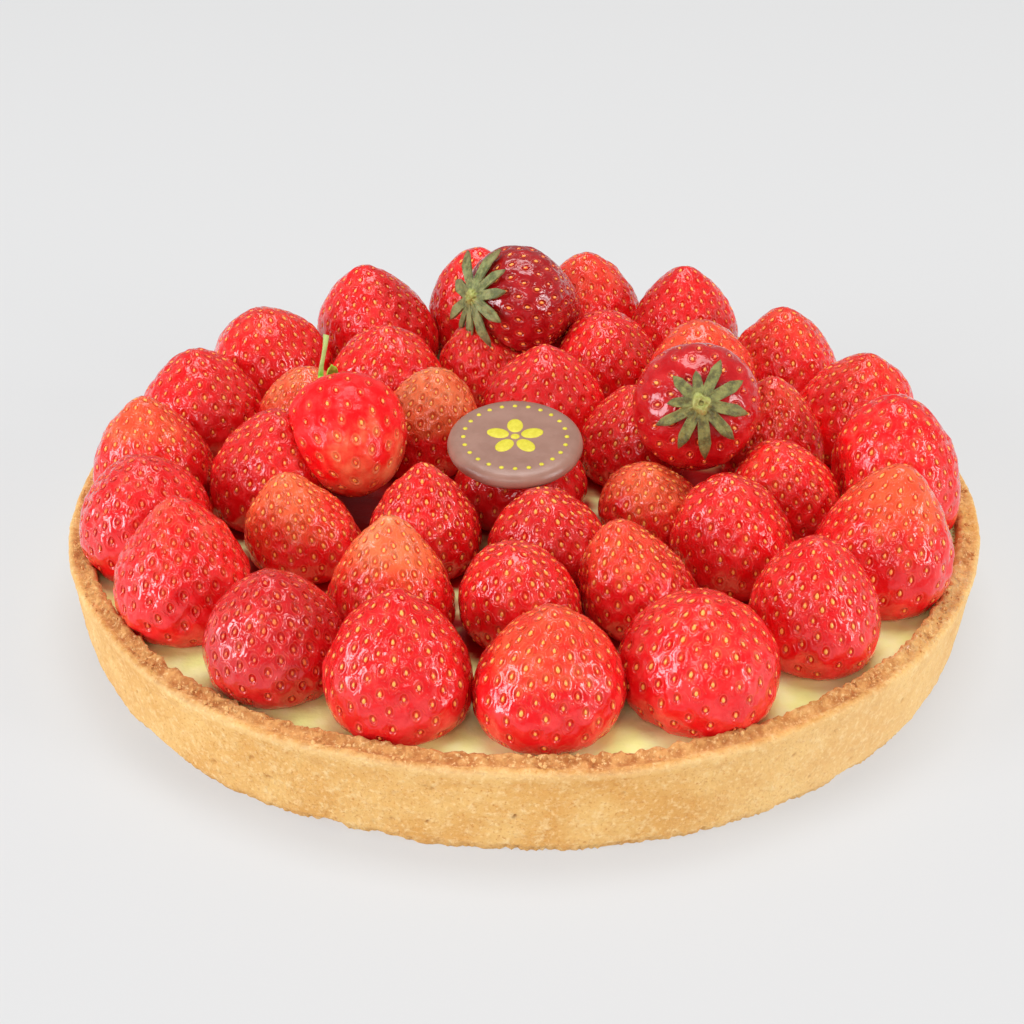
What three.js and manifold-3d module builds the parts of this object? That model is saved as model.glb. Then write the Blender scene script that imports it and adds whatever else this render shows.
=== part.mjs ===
// A strawberry tart, 24 cm across. A shortcrust case holds pastry cream. Hulled strawberries
// stand on the cream, cut face down, in three rings round a middle one. Three whole
// strawberries with their leaves and a round chocolate disc lie on top of them.
// Millimetres, +Z up, front at -Y. The origin is at the middle of the tart's outline, on the
// plane that it stands on.

import * as THREE from "three";
import { mergeVertices } from "three/addons/utils/BufferGeometryUtils.js";
import Module from "manifold-3d";

const wasm = await Module();
wasm.setup();

// ---------------------------------------------------------------- driving dimensions

const GAP = 0.3; // clearance between pieces that touch

const RIM_RADIUS = 120.5; // outside of the case, at the lip under the rim
const BASE_RADIUS = 117.5; // outside of the case, where it stands
const RIM_HEIGHT = 24.5; // outer corner of the rim
const CREST_HEIGHT = 26; // inner edge of the rim, which stands higher
const RIM_WIDTH = 6; // from the lip to the inner wall
const FLOOR = 5; // thickness of the bottom crust
const CREAM_TOP = 21.5;
const CASE_SIDES = 80;

// Places where the bottom edge of the wall is chipped: [angle, width, height], angles in degrees.
const CHIPS = [
  [36, 9, 1.2],
  [98, 12, 0.9],
  [160, 8, 1.3],
  [223, 6, 1.8],
  [247.5, 11, 1.3],
  [320, 9, 0.8],
];

// The hulled strawberries of each ring, anticlockwise from the right. Each one is
// [angle in degrees, distance from the middle, width, height, tip offset x, tip offset y, taper],
// where taper runs from 0 for a blunt dome to 1 for a sharp cone.
const OUTER_RING = [
  [18.5, 97.5, 34, 29, 3.5, -1, 0.3],
  [37, 98, 33.5, 30.5, -1.5, 0, 0.5],
  [59, 97, 34.5, 33, -0.5, 1, 0.5],
  [77.5, 97.5, 34, 32.5, -1, 0.5, 0.3],
  [97, 98, 32.5, 33.5, -1.5, 1, 0.4],
  [116.5, 95.5, 37.5, 32.5, -4.5, 0.5, 0.6],
  [139, 97, 35.5, 28.5, -2.5, -1, 0.1],
  [159, 96.5, 36, 28.5, -1, -0.5, 0.4],
  [178.5, 98.5, 33, 30, -1.5, -0.5, 0.7],
  [196, 99.5, 34, 29, 0.5, -1, 0.2],
  [214, 98.5, 34, 32.5, 0, 0.5, 0.8],
  [235, 98, 32.5, 28.5, -1, -1, 0.3],
  [253.5, 97.5, 34, 31, 0, 0.5, 0.5],
  [273, 96.5, 34.5, 29.5, 1, 0, 0.6],
  [293.5, 97.5, 36.5, 28.5, 0.5, -1, 0.2],
  [315, 97.5, 32.5, 30.5, -2, 0, 0.6],
  [333.5, 97.5, 35.5, 34.5, 3.5, 1, 0.7],
  [353.5, 98, 34.5, 36, -1.5, 1.5, 0],
];
const SECOND_RING = [
  [11, 70.5, 29, 30, -1.5, 0.5, 0.5],
  [38.5, 66.5, 33.5, 33.5, -1.5, 1.5, 0],
  [67, 67, 32, 28, -1.5, 0, 0],
  [98, 63.5, 28.5, 25, -4, -1, 0.4],
  [127, 65, 33.5, 27.5, 0, 0, 0.1],
  [156, 64, 29.5, 27.5, -1.5, 0, 0.3],
  [183.5, 68, 34, 29, 3.5, 0.5, 0.3],
  [209.5, 62.5, 29, 26, -4.5, -1, 0.7],
  [242.5, 69, 31.5, 31, 0.5, 1, 0.9],
  [270, 62.5, 30, 25, -2.5, -1.5, 0],
  [297.5, 63.5, 30, 27.5, -6.5, 0, 0.8],
  [326, 65, 32, 28, -3.5, 0, 0.2],
  [349, 71.5, 29.5, 25.5, -4, -1, 0],
];
const THIRD_RING = [
  [28, 35, 31, 26.5, 0.5, -0.5, 0.4],
  [82, 36.5, 37, 29, 1.5, 0, 0.6],
  [141, 35.5, 30, 28.5, 4, 0.5, 0.2],
  [231, 39.5, 29, 28.5, 0, 0, 0.8],
  [282.5, 35, 32, 24, -2.5, -2, 0.5],
  [336, 38.5, 28.5, 21, -3.5, -3, 0.2],
];
const MIDDLE = [[270, 4, 36, 22, 0, 0, 0]];

const BERRY_SIDES = 12;
const FLATS = 1.015; // a polygon this much wider has about the girth of the round it stands for
const FOOT = 0.385; // radius of a hulled berry's cut face, as a share of its width
const SHOULDER = 0.26; // where a hulled berry is widest, as a share of its height
const CLOSE = 0.62; // hulled berries nearer than this share of their added widths press together
const WHOLE_SIDES = 14;
const WHOLE_SHOULDER = 0.38; // where a whole berry is widest, from its stalk end

// The sepals of each calyx, anticlockwise round the stalk: [angle in degrees, reach, lift], where
// lift is how far the tip stands off the berry.
const LEFT_CALYX = [
  [5, 8, 1.2],
  [48, 10, 1.2],
  [88, 12, 1.2],
  [130, 10, 1.2],
  [170, 9, 1.2],
  [212, 6.5, 1],
  [248, 6.5, 0.8],
  [281, 12.5, 2],
  [325, 6, 0.8],
];
const BACK_CALYX = [
  [4, 13, 2.4],
  [40, 15, 2.2],
  [79, 15, 6.2],
  [121, 12.5, 2.3],
  [175, 13, 4],
  [198, 14, 3],
  [219, 15.2, 3],
  [252, 14.7, 3],
  [290, 12.5, 2.3],
  [334, 12, 2],
];
const RIGHT_CALYX = [
  [28, 12.5, 1],
  [64, 12.5, 1.2],
  [97, 8.5, 0.8],
  [133, 10, 0.8],
  [178, 8.5, 0.8],
  [204, 12.5, 1.2],
  [243, 12.5, 1.2],
  [275, 14, 1],
  [313, 12.5, 1.2],
  [348, 12.5, 0.8],
];

// The whole strawberries: the middle of each, the way its stalk end points, and its sizes.
const WHOLE_BERRIES = [
  {
    name: "left",
    middle: [-44.9, -5, 43.5],
    stalk: [-0.3, 0.86, 0.41],
    width: 31.6,
    length: 34.5,
    taper: 0.05,
    sepals: LEFT_CALYX,
    stem: { bend: [-3.6, -5, 3.6], end: [3, -9.9, 9.6], radius: 0.75 },
  },
  {
    name: "back",
    middle: [2.6, 72, 47.5],
    stalk: [-0.76, -0.55, 0.35],
    width: 34.5,
    length: 42,
    taper: 1,
    sepals: BACK_CALYX,
  },
  {
    name: "right",
    middle: [45.4, -1.1, 50.5],
    stalk: [-0.03, -0.87, 0.5],
    width: 34,
    length: 34,
    taper: 0.35,
    sepals: RIGHT_CALYX,
  },
];
const SEPAL_THICKNESS = 0.7;
const SEPAL_NOTCH = 4.5; // distance of the notches between sepals from the stalk
const SEPAL_POINT = 0.7; // 1 for straight edges from notch to tip, less for rounded ones
const SEPAL_FOLD = 0.25; // depth of the crease along a sepal's middle
const SEPAL_CLEARANCE = GAP + 0.25; // over the flats of the berry
const STALK_RISE = 1.2; // the stub of the stalk, above the sepals

const DISC_RADIUS = 17.5;
const DISC_THICKNESS = 5.2;
const DISC_SIDES = 32;
const DISC_MIDDLE = [-1.8, -12, 43]; // middle of its underside
const DISC_TILT = 9; // degrees, towards the front

// ---------------------------------------------------------------- materials

function food(color, roughness) {
  return new THREE.MeshStandardMaterial({ color, roughness, metalness: 0, flatShading: true });
}

const CRUST_FINISH = food("#e9bd7c", 0.8);
const CREAM_FINISH = food("#ead79b", 0.5);
const BERRY_FINISH = food("#e0302c", 0.3);
const LEAF_FINISH = food("#8d9a5c", 0.7);
const CHOCOLATE_FINISH = food("#a5857a", 0.45);

// ---------------------------------------------------------------- solids from geometry

// A solid for joining and cutting, from a closed geometry.
function solidOf(geometry) {
  const bare = new THREE.BufferGeometry();
  bare.setAttribute("position", geometry.getAttribute("position"));
  bare.setIndex(geometry.getIndex());
  const merged = mergeVertices(bare, 1e-3);
  const corners = merged.getIndex().array;
  const kept = [];
  for (let i = 0; i < corners.length; i += 3) {
    const [a, b, c] = corners.subarray(i, i + 3);
    if (a !== b && b !== c && c !== a) {
      kept.push(a, b, c);
    }
  }
  const vertProperties = new Float32Array(merged.getAttribute("position").array);
  return new wasm.Manifold(
    new wasm.Mesh({ numProp: 3, vertProperties, triVerts: new Uint32Array(kept) }),
  );
}

function geometryOf(solid) {
  const mesh = solid.getMesh();
  const geometry = new THREE.BufferGeometry();
  geometry.setAttribute("position", new THREE.BufferAttribute(mesh.vertProperties, 3));
  geometry.setIndex(new THREE.BufferAttribute(mesh.triVerts, 1));
  geometry.computeVertexNormals();
  return geometry;
}

// A mesh whose own origin is at the given frame, from a solid in the tart's coordinates.
function pieceAt(name, solid, finish, frame) {
  const geometry = geometryOf(solid).applyMatrix4(frame.clone().invert());
  const mesh = new THREE.Mesh(geometry, finish);
  mesh.name = name;
  mesh.applyMatrix4(frame);
  return mesh;
}

// Moves every point of a geometry by a function that changes it in place.
function reshape(geometry, move) {
  const position = geometry.getAttribute("position");
  const point = new THREE.Vector3();
  for (let i = 0; i < position.count; i += 1) {
    point.fromBufferAttribute(position, i);
    move(point);
    position.setXYZ(i, point.x, point.y, point.z);
  }
  return geometry;
}

// Turns [radius, height] pairs about the Z axis.
function turned(outline, sides) {
  const points = outline.map(([radius, height]) => new THREE.Vector2(radius, height));
  return new THREE.LatheGeometry(points, sides).rotateX(Math.PI / 2);
}

// A repeatable number from 0 to 1 for each whole number.
function chance(number) {
  const value = Math.sin(number * 12.9898 + 4.137) * 43758.5453;
  return value - Math.floor(value);
}

const radians = THREE.MathUtils.degToRad;

// ---------------------------------------------------------------- case and cream

// Hand-pressed pastry isn't quite round: slow waves in radius, and a rim that rises and dips.
function pressByHand(point) {
  const angle = Math.atan2(point.y, point.x);
  const radius = Math.hypot(point.x, point.y);
  const share = (radius / RIM_RADIUS) ** 4;
  const slow = 0.5 * Math.cos(angle) + 0.35 * Math.sin(5 * angle + 0.6);
  const wave = slow + 0.2 * Math.sin(9 * angle + 2.1);
  const dip = 0.3 * Math.sin(7 * angle + 1.1) + 0.25 * Math.sin(19 * angle);
  const rim = THREE.MathUtils.smoothstep(point.z, CREAM_TOP, RIM_HEIGHT);
  point.x *= 1 + (wave * share) / RIM_RADIUS;
  point.y *= 1 + (wave * share) / RIM_RADIUS;
  point.z += dip * rim;
}

function chipEdge(point) {
  const radius = Math.hypot(point.x, point.y);
  if (point.z > 1.5 || radius < BASE_RADIUS - 3) {
    return;
  }
  const angle = Math.atan2(point.y, point.x);
  for (const [where, width, height] of CHIPS) {
    const apart = THREE.MathUtils.euclideanModulo(angle - radians(where) + Math.PI, 2 * Math.PI) - Math.PI;
    const nearness = 1 - Math.abs(apart) / radians(width);
    point.z += height * Math.max(0, nearness);
  }
}

const INNER_RADIUS = RIM_RADIUS - RIM_WIDTH;
const FLOOR_RADIUS = INNER_RADIUS - 3.8;

function makeCase() {
  const outline = [
    [0, 0],
    [BASE_RADIUS - 8, 0],
    [BASE_RADIUS - 0.8, 0],
    [BASE_RADIUS, 1],
    [BASE_RADIUS + 1.6, 11],
    [RIM_RADIUS - 0.6, RIM_HEIGHT - 4.5],
    [RIM_RADIUS, RIM_HEIGHT - 2.2],
    [RIM_RADIUS - 0.4, RIM_HEIGHT - 0.8],
    [RIM_RADIUS - 1.8, RIM_HEIGHT],
    [INNER_RADIUS + 1.6, CREST_HEIGHT],
    [INNER_RADIUS + 0.3, CREST_HEIGHT - 0.6],
    [INNER_RADIUS - 0.4, CREAM_TOP + 1.5],
    [FLOOR_RADIUS + 1, FLOOR + 2],
    [FLOOR_RADIUS - 1, FLOOR],
    [0, FLOOR],
  ];
  const pressed = reshape(turned(outline, CASE_SIDES), pressByHand);
  return solidOf(reshape(pressed, chipEdge));
}

function makeCream() {
  const bottom = FLOOR + GAP;
  const outline = [
    [0, bottom],
    [FLOOR_RADIUS - 1.2, bottom],
    [FLOOR_RADIUS + 0.6, FLOOR + 2],
    [INNER_RADIUS - 0.8, CREAM_TOP + 0.7],
    [INNER_RADIUS - 2.4, CREAM_TOP],
    [0, CREAM_TOP],
  ];
  return solidOf(reshape(turned(outline, CASE_SIDES), pressByHand));
}

// ---------------------------------------------------------------- hulled strawberries

// Half width of a berry as a share of its widest, from its shoulder (0) to its tip (1).
function taperTo(tip, taper) {
  return (1 - tip ** (2.1 - 0.7 * taper)) ** (0.62 + 0.25 * taper);
}

// Each berry is a little three-sided or oval in its own way.
function lump(point, seed, strength) {
  const angle = Math.atan2(point.y, point.x);
  const oval = 0.03 * Math.sin(2 * angle + 6.28 * chance(seed));
  const corners = 0.022 * Math.sin(3 * angle + 6.28 * chance(seed + 50) + 0.04 * point.z);
  const grow = 1 + strength * (oval + corners);
  point.x *= grow;
  point.y *= grow;
}

function hulledBerry([angle, distance, width, height, tipX, tipY, taper], seed) {
  const outline = [
    [0, 0],
    [FOOT * width, 0],
  ];
  for (const share of [0.11, 0.29, 0.48, 0.66, 0.82, 0.94]) {
    const drop = Math.max(0, (SHOULDER - share) / SHOULDER);
    const rise = Math.max(0, (share - SHOULDER) / (1 - SHOULDER));
    const radius = (width / 2) * Math.sqrt(1 - 0.42 * drop ** 2) * taperTo(rise, taper);
    outline.push([radius * FLATS, share * height]);
  }
  outline.push([0, height]);
  const geometry = reshape(turned(outline, BERRY_SIDES), (point) => {
    lump(point, seed, 1);
    const share = point.z / height;
    point.x += tipX * share;
    point.y += tipY * share;
  });
  const x = distance * Math.cos(radians(angle));
  const y = distance * Math.sin(radians(angle));
  const base = CREAM_TOP + GAP;
  return { solid: solidOf(geometry.translate(x, y, base)), x, y, base, width, tipX, tipY };
}

// Two berries that press on each other meet in a flat: each loses what lies past it.
function pressTogether(one, other) {
  const apart = new THREE.Vector2(other.x - one.x, other.y - one.y);
  const distance = apart.length();
  if (distance > CLOSE * (one.width + other.width)) {
    return;
  }
  const meet = (distance * one.width) / (one.width + other.width);
  const across = 2 * Math.max(one.width, other.width);
  const turn = Math.atan2(apart.y, apart.x);
  for (const [berry, way] of [
    [one, 1],
    [other, -1],
  ]) {
    const past = new THREE.BoxGeometry(across, across, across);
    past.translate(meet + way * (across / 2 - GAP / 2), 0, one.base + across / 3);
    past.rotateZ(turn).translate(one.x, one.y, 0);
    berry.solid = berry.solid.subtract(solidOf(past));
  }
}

// The room that a berry takes up, with the gap round it. A flat where it presses on a neighbour
// is never nearer its middle than LEAST_HALF.
const LEAST_HALF = 9;

function roomOf({ solid }) {
  const box = solid.boundingBox();
  const middle = box.min.map((low, axis) => (low + box.max[axis]) / 2);
  const away = middle.map((value) => -value);
  return solid.translate(away).scale(1 + GAP / LEAST_HALF).translate(middle);
}

// ---------------------------------------------------------------- whole strawberries

// Height of a whole berry's surface above its middle, at a distance from its axis.
function shoulderHeight(radius, width, length) {
  const out = Math.min(1, (2 * radius) / width);
  return length * (0.5 - WHOLE_SHOULDER * (1 - Math.sqrt(1 - out ** 2)));
}

function frameOf({ middle, stalk }) {
  const turn = new THREE.Quaternion().setFromUnitVectors(
    new THREE.Vector3(0, 0, 1),
    new THREE.Vector3(...stalk).normalize(),
  );
  return new THREE.Matrix4().compose(new THREE.Vector3(...middle), turn, new THREE.Vector3(1, 1, 1));
}

function wholeBerry({ width, length, taper }, seed) {
  const outline = [[0, -length / 2]];
  for (const share of [0.96, 0.86, 0.72, 0.56, 0.4, 0.24, 0.12, 0.04]) {
    const drop = Math.max(0, (WHOLE_SHOULDER - share) / WHOLE_SHOULDER);
    const rise = Math.max(0, (share - WHOLE_SHOULDER) / (1 - WHOLE_SHOULDER));
    const radius = (width / 2) * Math.sqrt(1 - drop ** 2) * taperTo(rise, taper);
    outline.push([radius, length * (0.5 - share)]);
  }
  outline.push([0, length / 2]);
  return reshape(turned(outline, WHOLE_SIDES), (point) => {
    lump(point, seed, THREE.MathUtils.smoothstep(-point.z, -length / 4, length / 4));
  });
}

// A closed solid from an open sheet: the sheet, its copy set back along Z, and the edge.
function thicken(sheet, thickness) {
  const merged = mergeVertices(
    new THREE.BufferGeometry()
      .setAttribute("position", sheet.getAttribute("position"))
      .setIndex(sheet.getIndex()),
    1e-3,
  );
  const top = merged.getAttribute("position").array;
  const count = top.length / 3;
  const points = [...top, ...top.map((value, i) => (i % 3 === 2 ? value - thickness : value))];
  const corners = merged.getIndex().array;
  const faces = [];
  const edges = new Map();
  for (let i = 0; i < corners.length; i += 3) {
    const face = [corners[i], corners[i + 1], corners[i + 2]];
    if (new Set(face).size < 3) {
      continue;
    }
    faces.push(...face, face[2] + count, face[1] + count, face[0] + count);
    face.forEach((from, k) => {
      const to = face[(k + 1) % 3];
      if (!edges.delete(`${to},${from}`)) {
        edges.set(`${from},${to}`, [from, to]);
      }
    });
  }
  for (const [from, to] of edges.values()) {
    faces.push(from, from + count, to + count, from, to + count, to);
  }
  const solid = new THREE.BufferGeometry();
  solid.setAttribute("position", new THREE.BufferAttribute(new Float32Array(points), 3));
  solid.setIndex(faces);
  return solid;
}

// The leafy star on a whole berry: pointed sepals that follow its shoulder and lift at the tips.
function calyx({ width, length, sepals, stem }) {
  const count = sepals.length;
  const star = new THREE.RingGeometry(0, 1, count * 4, 3);
  reshape(star, (point) => {
    const out = Math.hypot(point.x, point.y);
    const place = (Math.atan2(point.y, point.x) / (2 * Math.PI) + 1) * count;
    const before = Math.floor(place + 1e-6);
    const [fromAngle] = sepals[before % count];
    const [toAngle] = sepals[(before + 1) % count];
    const spread = THREE.MathUtils.euclideanModulo(toAngle - fromAngle, 360);
    const angle = radians(fromAngle + (place - before) * spread);
    const [, reach, lift] = sepals[Math.round(place) % count];
    const inward = 1 - Math.abs(place - Math.round(place)) * 2;
    const radius = out * (SEPAL_NOTCH + (reach - SEPAL_NOTCH) * inward ** SEPAL_POINT);
    const curl = lift * (radius / reach) ** 2;
    const crease = SEPAL_FOLD * inward * Math.sin(Math.PI * out);
    const stub = STALK_RISE * Math.max(0, 1 - 3 * out);
    const rest = shoulderHeight(radius, width, length) + SEPAL_CLEARANCE + SEPAL_THICKNESS;
    point.set(radius * Math.cos(angle), radius * Math.sin(angle), rest + curl + stub - crease);
  });
  const leaves = solidOf(thicken(star, SEPAL_THICKNESS));
  return stem ? leaves.add(solidOf(stalkAlong(stem, length / 2 + SEPAL_CLEARANCE))) : leaves;
}

// A thin green stalk that bends as it leaves the berry. It starts inside the stub, and its points
// are measured from the underside of the sepals.
function stalkAlong({ bend, end, radius }, foot) {
  const start = [0, 0, STALK_RISE];
  const points = [start, bend, end].map(([x, y, z]) => new THREE.Vector3(x, y, z + foot));
  const path = new THREE.QuadraticBezierCurve3(...points);
  const section = new THREE.Shape().absarc(0, 0, radius, 0, 2 * Math.PI);
  return new THREE.ExtrudeGeometry(section, { steps: 5, extrudePath: path, curveSegments: 4 });
}

// ---------------------------------------------------------------- chocolate disc

const DISC_FRAME = new THREE.Matrix4()
  .makeTranslation(...DISC_MIDDLE)
  .multiply(new THREE.Matrix4().makeRotationX(radians(DISC_TILT)));

// The disc, or the room it takes up when spare is more than 0.
function makeDisc(spare) {
  const outline = [
    [0, 0],
    [DISC_RADIUS - 3.5, 0],
    [DISC_RADIUS - 1, 1],
    [DISC_RADIUS, 2.6],
    [DISC_RADIUS - 0.5, 4.1],
    [DISC_RADIUS - 2.2, 5],
    [0, DISC_THICKNESS],
  ];
  const wider = 1 + spare / DISC_RADIUS;
  const thicker = 1 + (2 * spare) / DISC_THICKNESS;
  const disc = turned(outline, DISC_SIDES).scale(wider, wider, thicker).translate(0, 0, -spare);
  return solidOf(disc.applyMatrix4(DISC_FRAME));
}

// ---------------------------------------------------------------- the tart

const tart = new THREE.Group();
const home = new THREE.Matrix4();
const caseSolid = makeCase();
tart.add(pieceAt("crust", caseSolid, CRUST_FINISH, home));
tart.add(pieceAt("cream", makeCream(), CREAM_FINISH, home));

const hulled = [];
for (const [ring, berries] of Object.entries({
  outer: OUTER_RING,
  second: SECOND_RING,
  third: THIRD_RING,
  middle: MIDDLE,
})) {
  berries.forEach((sizes, i) => {
    const name = `berry_${ring}_${String(i + 1).padStart(2, "0")}`;
    hulled.push({ name, ...hulledBerry(sizes, hulled.length) });
  });
}
hulled.forEach((one, i) => {
  hulled.slice(i + 1).forEach((other) => pressTogether(one, other));
});

// The outer berries lean on the inside of the rim, and the middle ones carry the disc.
const inward = 1 - GAP / INNER_RADIUS;
const rimRoom = caseSolid.scale([inward, inward, 1 + GAP / CREST_HEIGHT]);
const discRoom = makeDisc(GAP);
for (const berry of hulled) {
  berry.solid = berry.solid.subtract(rimRoom).subtract(discRoom);
  const frame = new THREE.Matrix4().makeTranslation(berry.x, berry.y, berry.base);
  tart.add(pieceAt(berry.name, berry.solid, BERRY_FINISH, frame));
}

// The whole berries settle between the ones below them, which dent them a little, and their
// sepals end where they run into one.
const bed = hulled.map(roomOf);
const settle = (solid) => bed.reduce((rest, room) => rest.subtract(room), solid);
WHOLE_BERRIES.forEach((berry, i) => {
  const frame = frameOf(berry);
  const body = solidOf(wholeBerry(berry, hulled.length + i)).transform(frame.toArray());
  const leaves = calyx(berry).transform(frame.toArray());
  tart.add(pieceAt(`berry_whole_${berry.name}`, settle(body), BERRY_FINISH, frame));
  tart.add(pieceAt(`calyx_${berry.name}`, settle(leaves), LEAF_FINISH, frame));
});

tart.add(pieceAt("disc", makeDisc(0), CHOCOLATE_FINISH, DISC_FRAME));

// The hand-pressed rim is a little wider on one side, so the middle of the whole tart isn't quite
// the middle that its rings are measured from.
const bounds = new THREE.Box3().setFromObject(tart, true);
tart.position.set(-(bounds.min.x + bounds.max.x) / 2, -(bounds.min.y + bounds.max.y) / 2, 0);

export default tart;
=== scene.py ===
"""A strawberry tart: shortcrust case, pastry cream, strawberries, leaves and a chocolate disc."""

import math
import random

import bmesh
import bpy
from mathutils import Matrix, Vector, noise
from mathutils.bvhtree import BVHTree
from mathutils.kdtree import KDTree


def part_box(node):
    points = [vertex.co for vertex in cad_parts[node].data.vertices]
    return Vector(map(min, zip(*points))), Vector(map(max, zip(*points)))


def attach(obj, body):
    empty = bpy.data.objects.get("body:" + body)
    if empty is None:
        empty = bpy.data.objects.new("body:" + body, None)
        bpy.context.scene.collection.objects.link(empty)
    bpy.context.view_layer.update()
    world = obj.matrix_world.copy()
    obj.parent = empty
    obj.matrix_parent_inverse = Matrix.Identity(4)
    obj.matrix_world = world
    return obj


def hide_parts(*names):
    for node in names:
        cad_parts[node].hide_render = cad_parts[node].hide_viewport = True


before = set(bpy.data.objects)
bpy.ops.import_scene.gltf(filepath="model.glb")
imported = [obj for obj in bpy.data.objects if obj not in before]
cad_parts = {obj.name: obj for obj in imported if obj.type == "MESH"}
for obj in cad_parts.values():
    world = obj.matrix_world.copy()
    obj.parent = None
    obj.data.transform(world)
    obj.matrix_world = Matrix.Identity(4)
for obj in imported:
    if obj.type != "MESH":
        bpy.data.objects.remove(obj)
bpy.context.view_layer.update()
MM = 0.001
rng = random.Random(24)

# The middle of the rings that the tart is laid out on, which its hand-pressed rim isn't true to.
CENTRE = Vector((-0.87, -0.188, 0)) * MM


# ---------------------------------------------------------------- camera, light and floor


def make_camera():
    data = bpy.data.cameras.new("camera")
    data.lens = 62.1
    data.sensor_width = 36
    camera = bpy.data.objects.new("camera", data)
    camera.location = (-0.00347, -0.4131, 0.2613)
    camera.rotation_euler = (math.radians(59.5), 0, 0)
    bpy.context.scene.collection.objects.link(camera)
    bpy.context.scene.camera = camera


def make_softbox(name, place, width, height, power, tint=(1, 1, 1)):
    data = bpy.data.lights.new(name, "AREA")
    data.shape = "RECTANGLE"
    data.size = width
    data.size_y = height
    data.energy = power
    data.color = tint
    lamp = bpy.data.objects.new(name, data)
    lamp.location = place
    lamp.rotation_euler = (-Vector(place)).to_track_quat("-Z", "Y").to_euler()
    bpy.context.scene.collection.objects.link(lamp)


def make_studio():
    world = bpy.data.worlds.new("studio")
    world.use_nodes = True
    sky = world.node_tree.nodes["Background"]
    sky.inputs["Color"].default_value = (1, 1, 1, 1)
    sky.inputs["Strength"].default_value = 0.28
    bpy.context.scene.world = world
    make_softbox("overhead softbox", (0.1, 0.4, 2.0), 1.3, 0.9, 23)
    make_softbox("front softbox", (-0.3, -1.8, 1.3), 1.0, 0.5, 7.5)
    make_softbox("left softbox", (-1.75, -0.85, 0.6), 0.65, 1.25, 30, (0.9, 0.94, 1))
    make_softbox("right softbox", (1.72, -0.9, 0.6), 0.5, 1.25, 22)
    bpy.context.scene.view_settings.view_transform = "Standard"

    floor = bmesh.new()
    bmesh.ops.create_grid(floor, x_segments=1, y_segments=1, size=4)
    finish_piece(floor, "floor", [floor_paint()])


# ---------------------------------------------------------------- pieces


def finish_piece(bm, name, materials, smooth=True):
    mesh = bpy.data.meshes.new(name)
    bm.to_mesh(mesh)
    bm.free()
    for material in materials:
        mesh.materials.append(material)
    mesh.polygons.foreach_set("use_smooth", [smooth] * len(mesh.polygons))
    piece = bpy.data.objects.new(name, mesh)
    bpy.context.scene.collection.objects.link(piece)
    return piece


def put_on(piece, slot, *nodes):
    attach(piece, "root")
    if nodes:
        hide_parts(*nodes)


def merged_copy(node):
    """The CAD node's mesh with its loose triangles joined."""
    bm = bmesh.new()
    bm.from_mesh(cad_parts[node].data)
    bmesh.ops.remove_doubles(bm, verts=bm.verts, dist=1e-6)
    return bm


def ease(bm, rounds):
    for _ in range(rounds):
        bmesh.ops.smooth_vert(
            bm, verts=bm.verts, factor=0.5, use_axis_x=True, use_axis_y=True, use_axis_z=True
        )


def new_layers(bm, *names):
    return {name: bm.verts.layers.float.new(name) for name in names}


def smoothstep(value, low, high):
    share = min(1.0, max(0.0, (value - low) / (high - low)))
    return share * share * (3 - 2 * share)


def bell(value, width):
    return math.exp(-((value / width) ** 2))


def rough_noise(x, y, z, scale, seed):
    return noise.noise(Vector((x / scale + seed, y / scale, z / scale)))


# ---------------------------------------------------------------- shader wiring


def colour(value):
    """A colour given as sRGB 0 to 255 becomes linear. Anything else is passed through."""
    if not (isinstance(value, tuple) and len(value) == 3):
        return value
    linear = [(c / 255 / 12.92) if c < 10.3 else ((c / 255 + 0.055) / 1.055) ** 2.4 for c in value]
    return (*linear, 1)


class Wiring:
    """The few steps that the nodes of a material or group are wired with."""

    def __init__(self, tree):
        self.tree = tree

    def add(self, kind, **settings):
        node = self.tree.nodes.new(kind)
        for key, value in settings.items():
            setattr(node, key, value)
        return node

    def fill(self, socket, value):
        """Sets a socket from a number or colour, or wires an output into it."""
        if isinstance(value, bpy.types.NodeSocket):
            self.tree.links.new(value, socket)
        else:
            socket.default_value = value

    def attribute(self, name, output="Fac"):
        return self.add("ShaderNodeAttribute", attribute_name=name).outputs[output]

    def noise(self, scale, detail, rough=0.5):
        node = self.add("ShaderNodeTexNoise")
        self.fill(node.inputs["Scale"], scale)
        node.inputs["Detail"].default_value = detail
        node.inputs["Roughness"].default_value = rough
        self.fill(node.inputs["Vector"], self.add("ShaderNodeTexCoord").outputs["Object"])
        return node.outputs["Fac"]

    def span(self, value, low, high, new_low=0.0, new_high=1.0):
        node = self.add("ShaderNodeMapRange", interpolation_type="SMOOTHSTEP")
        for name, given in zip(("Value", "From Min", "From Max"), (value, low, high)):
            self.fill(node.inputs[name], given)
        node.inputs["To Min"].default_value = new_low
        node.inputs["To Max"].default_value = new_high
        return node.outputs["Result"]

    def maths(self, operation, *values):
        node = self.add("ShaderNodeMath", operation=operation)
        for socket, value in zip(node.inputs, values):
            self.fill(socket, value)
        return node.outputs["Value"]

    def blend(self, share, under, over):
        node = self.add("ShaderNodeMix", data_type="RGBA")
        sockets = [s for s in node.inputs if s.enabled]
        for socket, value in zip(sockets, (share, under, over)):
            self.fill(socket, colour(value))
        return next(s for s in node.outputs if s.enabled)

    def bump(self, height, depth, under=None):
        """The normal of a surface that the height, 0 to 1, raises by up to the depth in metres."""
        node = self.add("ShaderNodeBump")
        node.inputs["Distance"].default_value = 1.0
        self.fill(node.inputs["Height"], self.maths("MULTIPLY", height, depth))
        if under:
            self.fill(node.inputs["Normal"], under)
        return node.outputs["Normal"]

    def group(self, tree, **values):
        node = self.add("ShaderNodeGroup", node_tree=tree)
        for name, value in values.items():
            self.fill(node.inputs[name.capitalize()], colour(value))
        return node.outputs[0]


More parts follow.
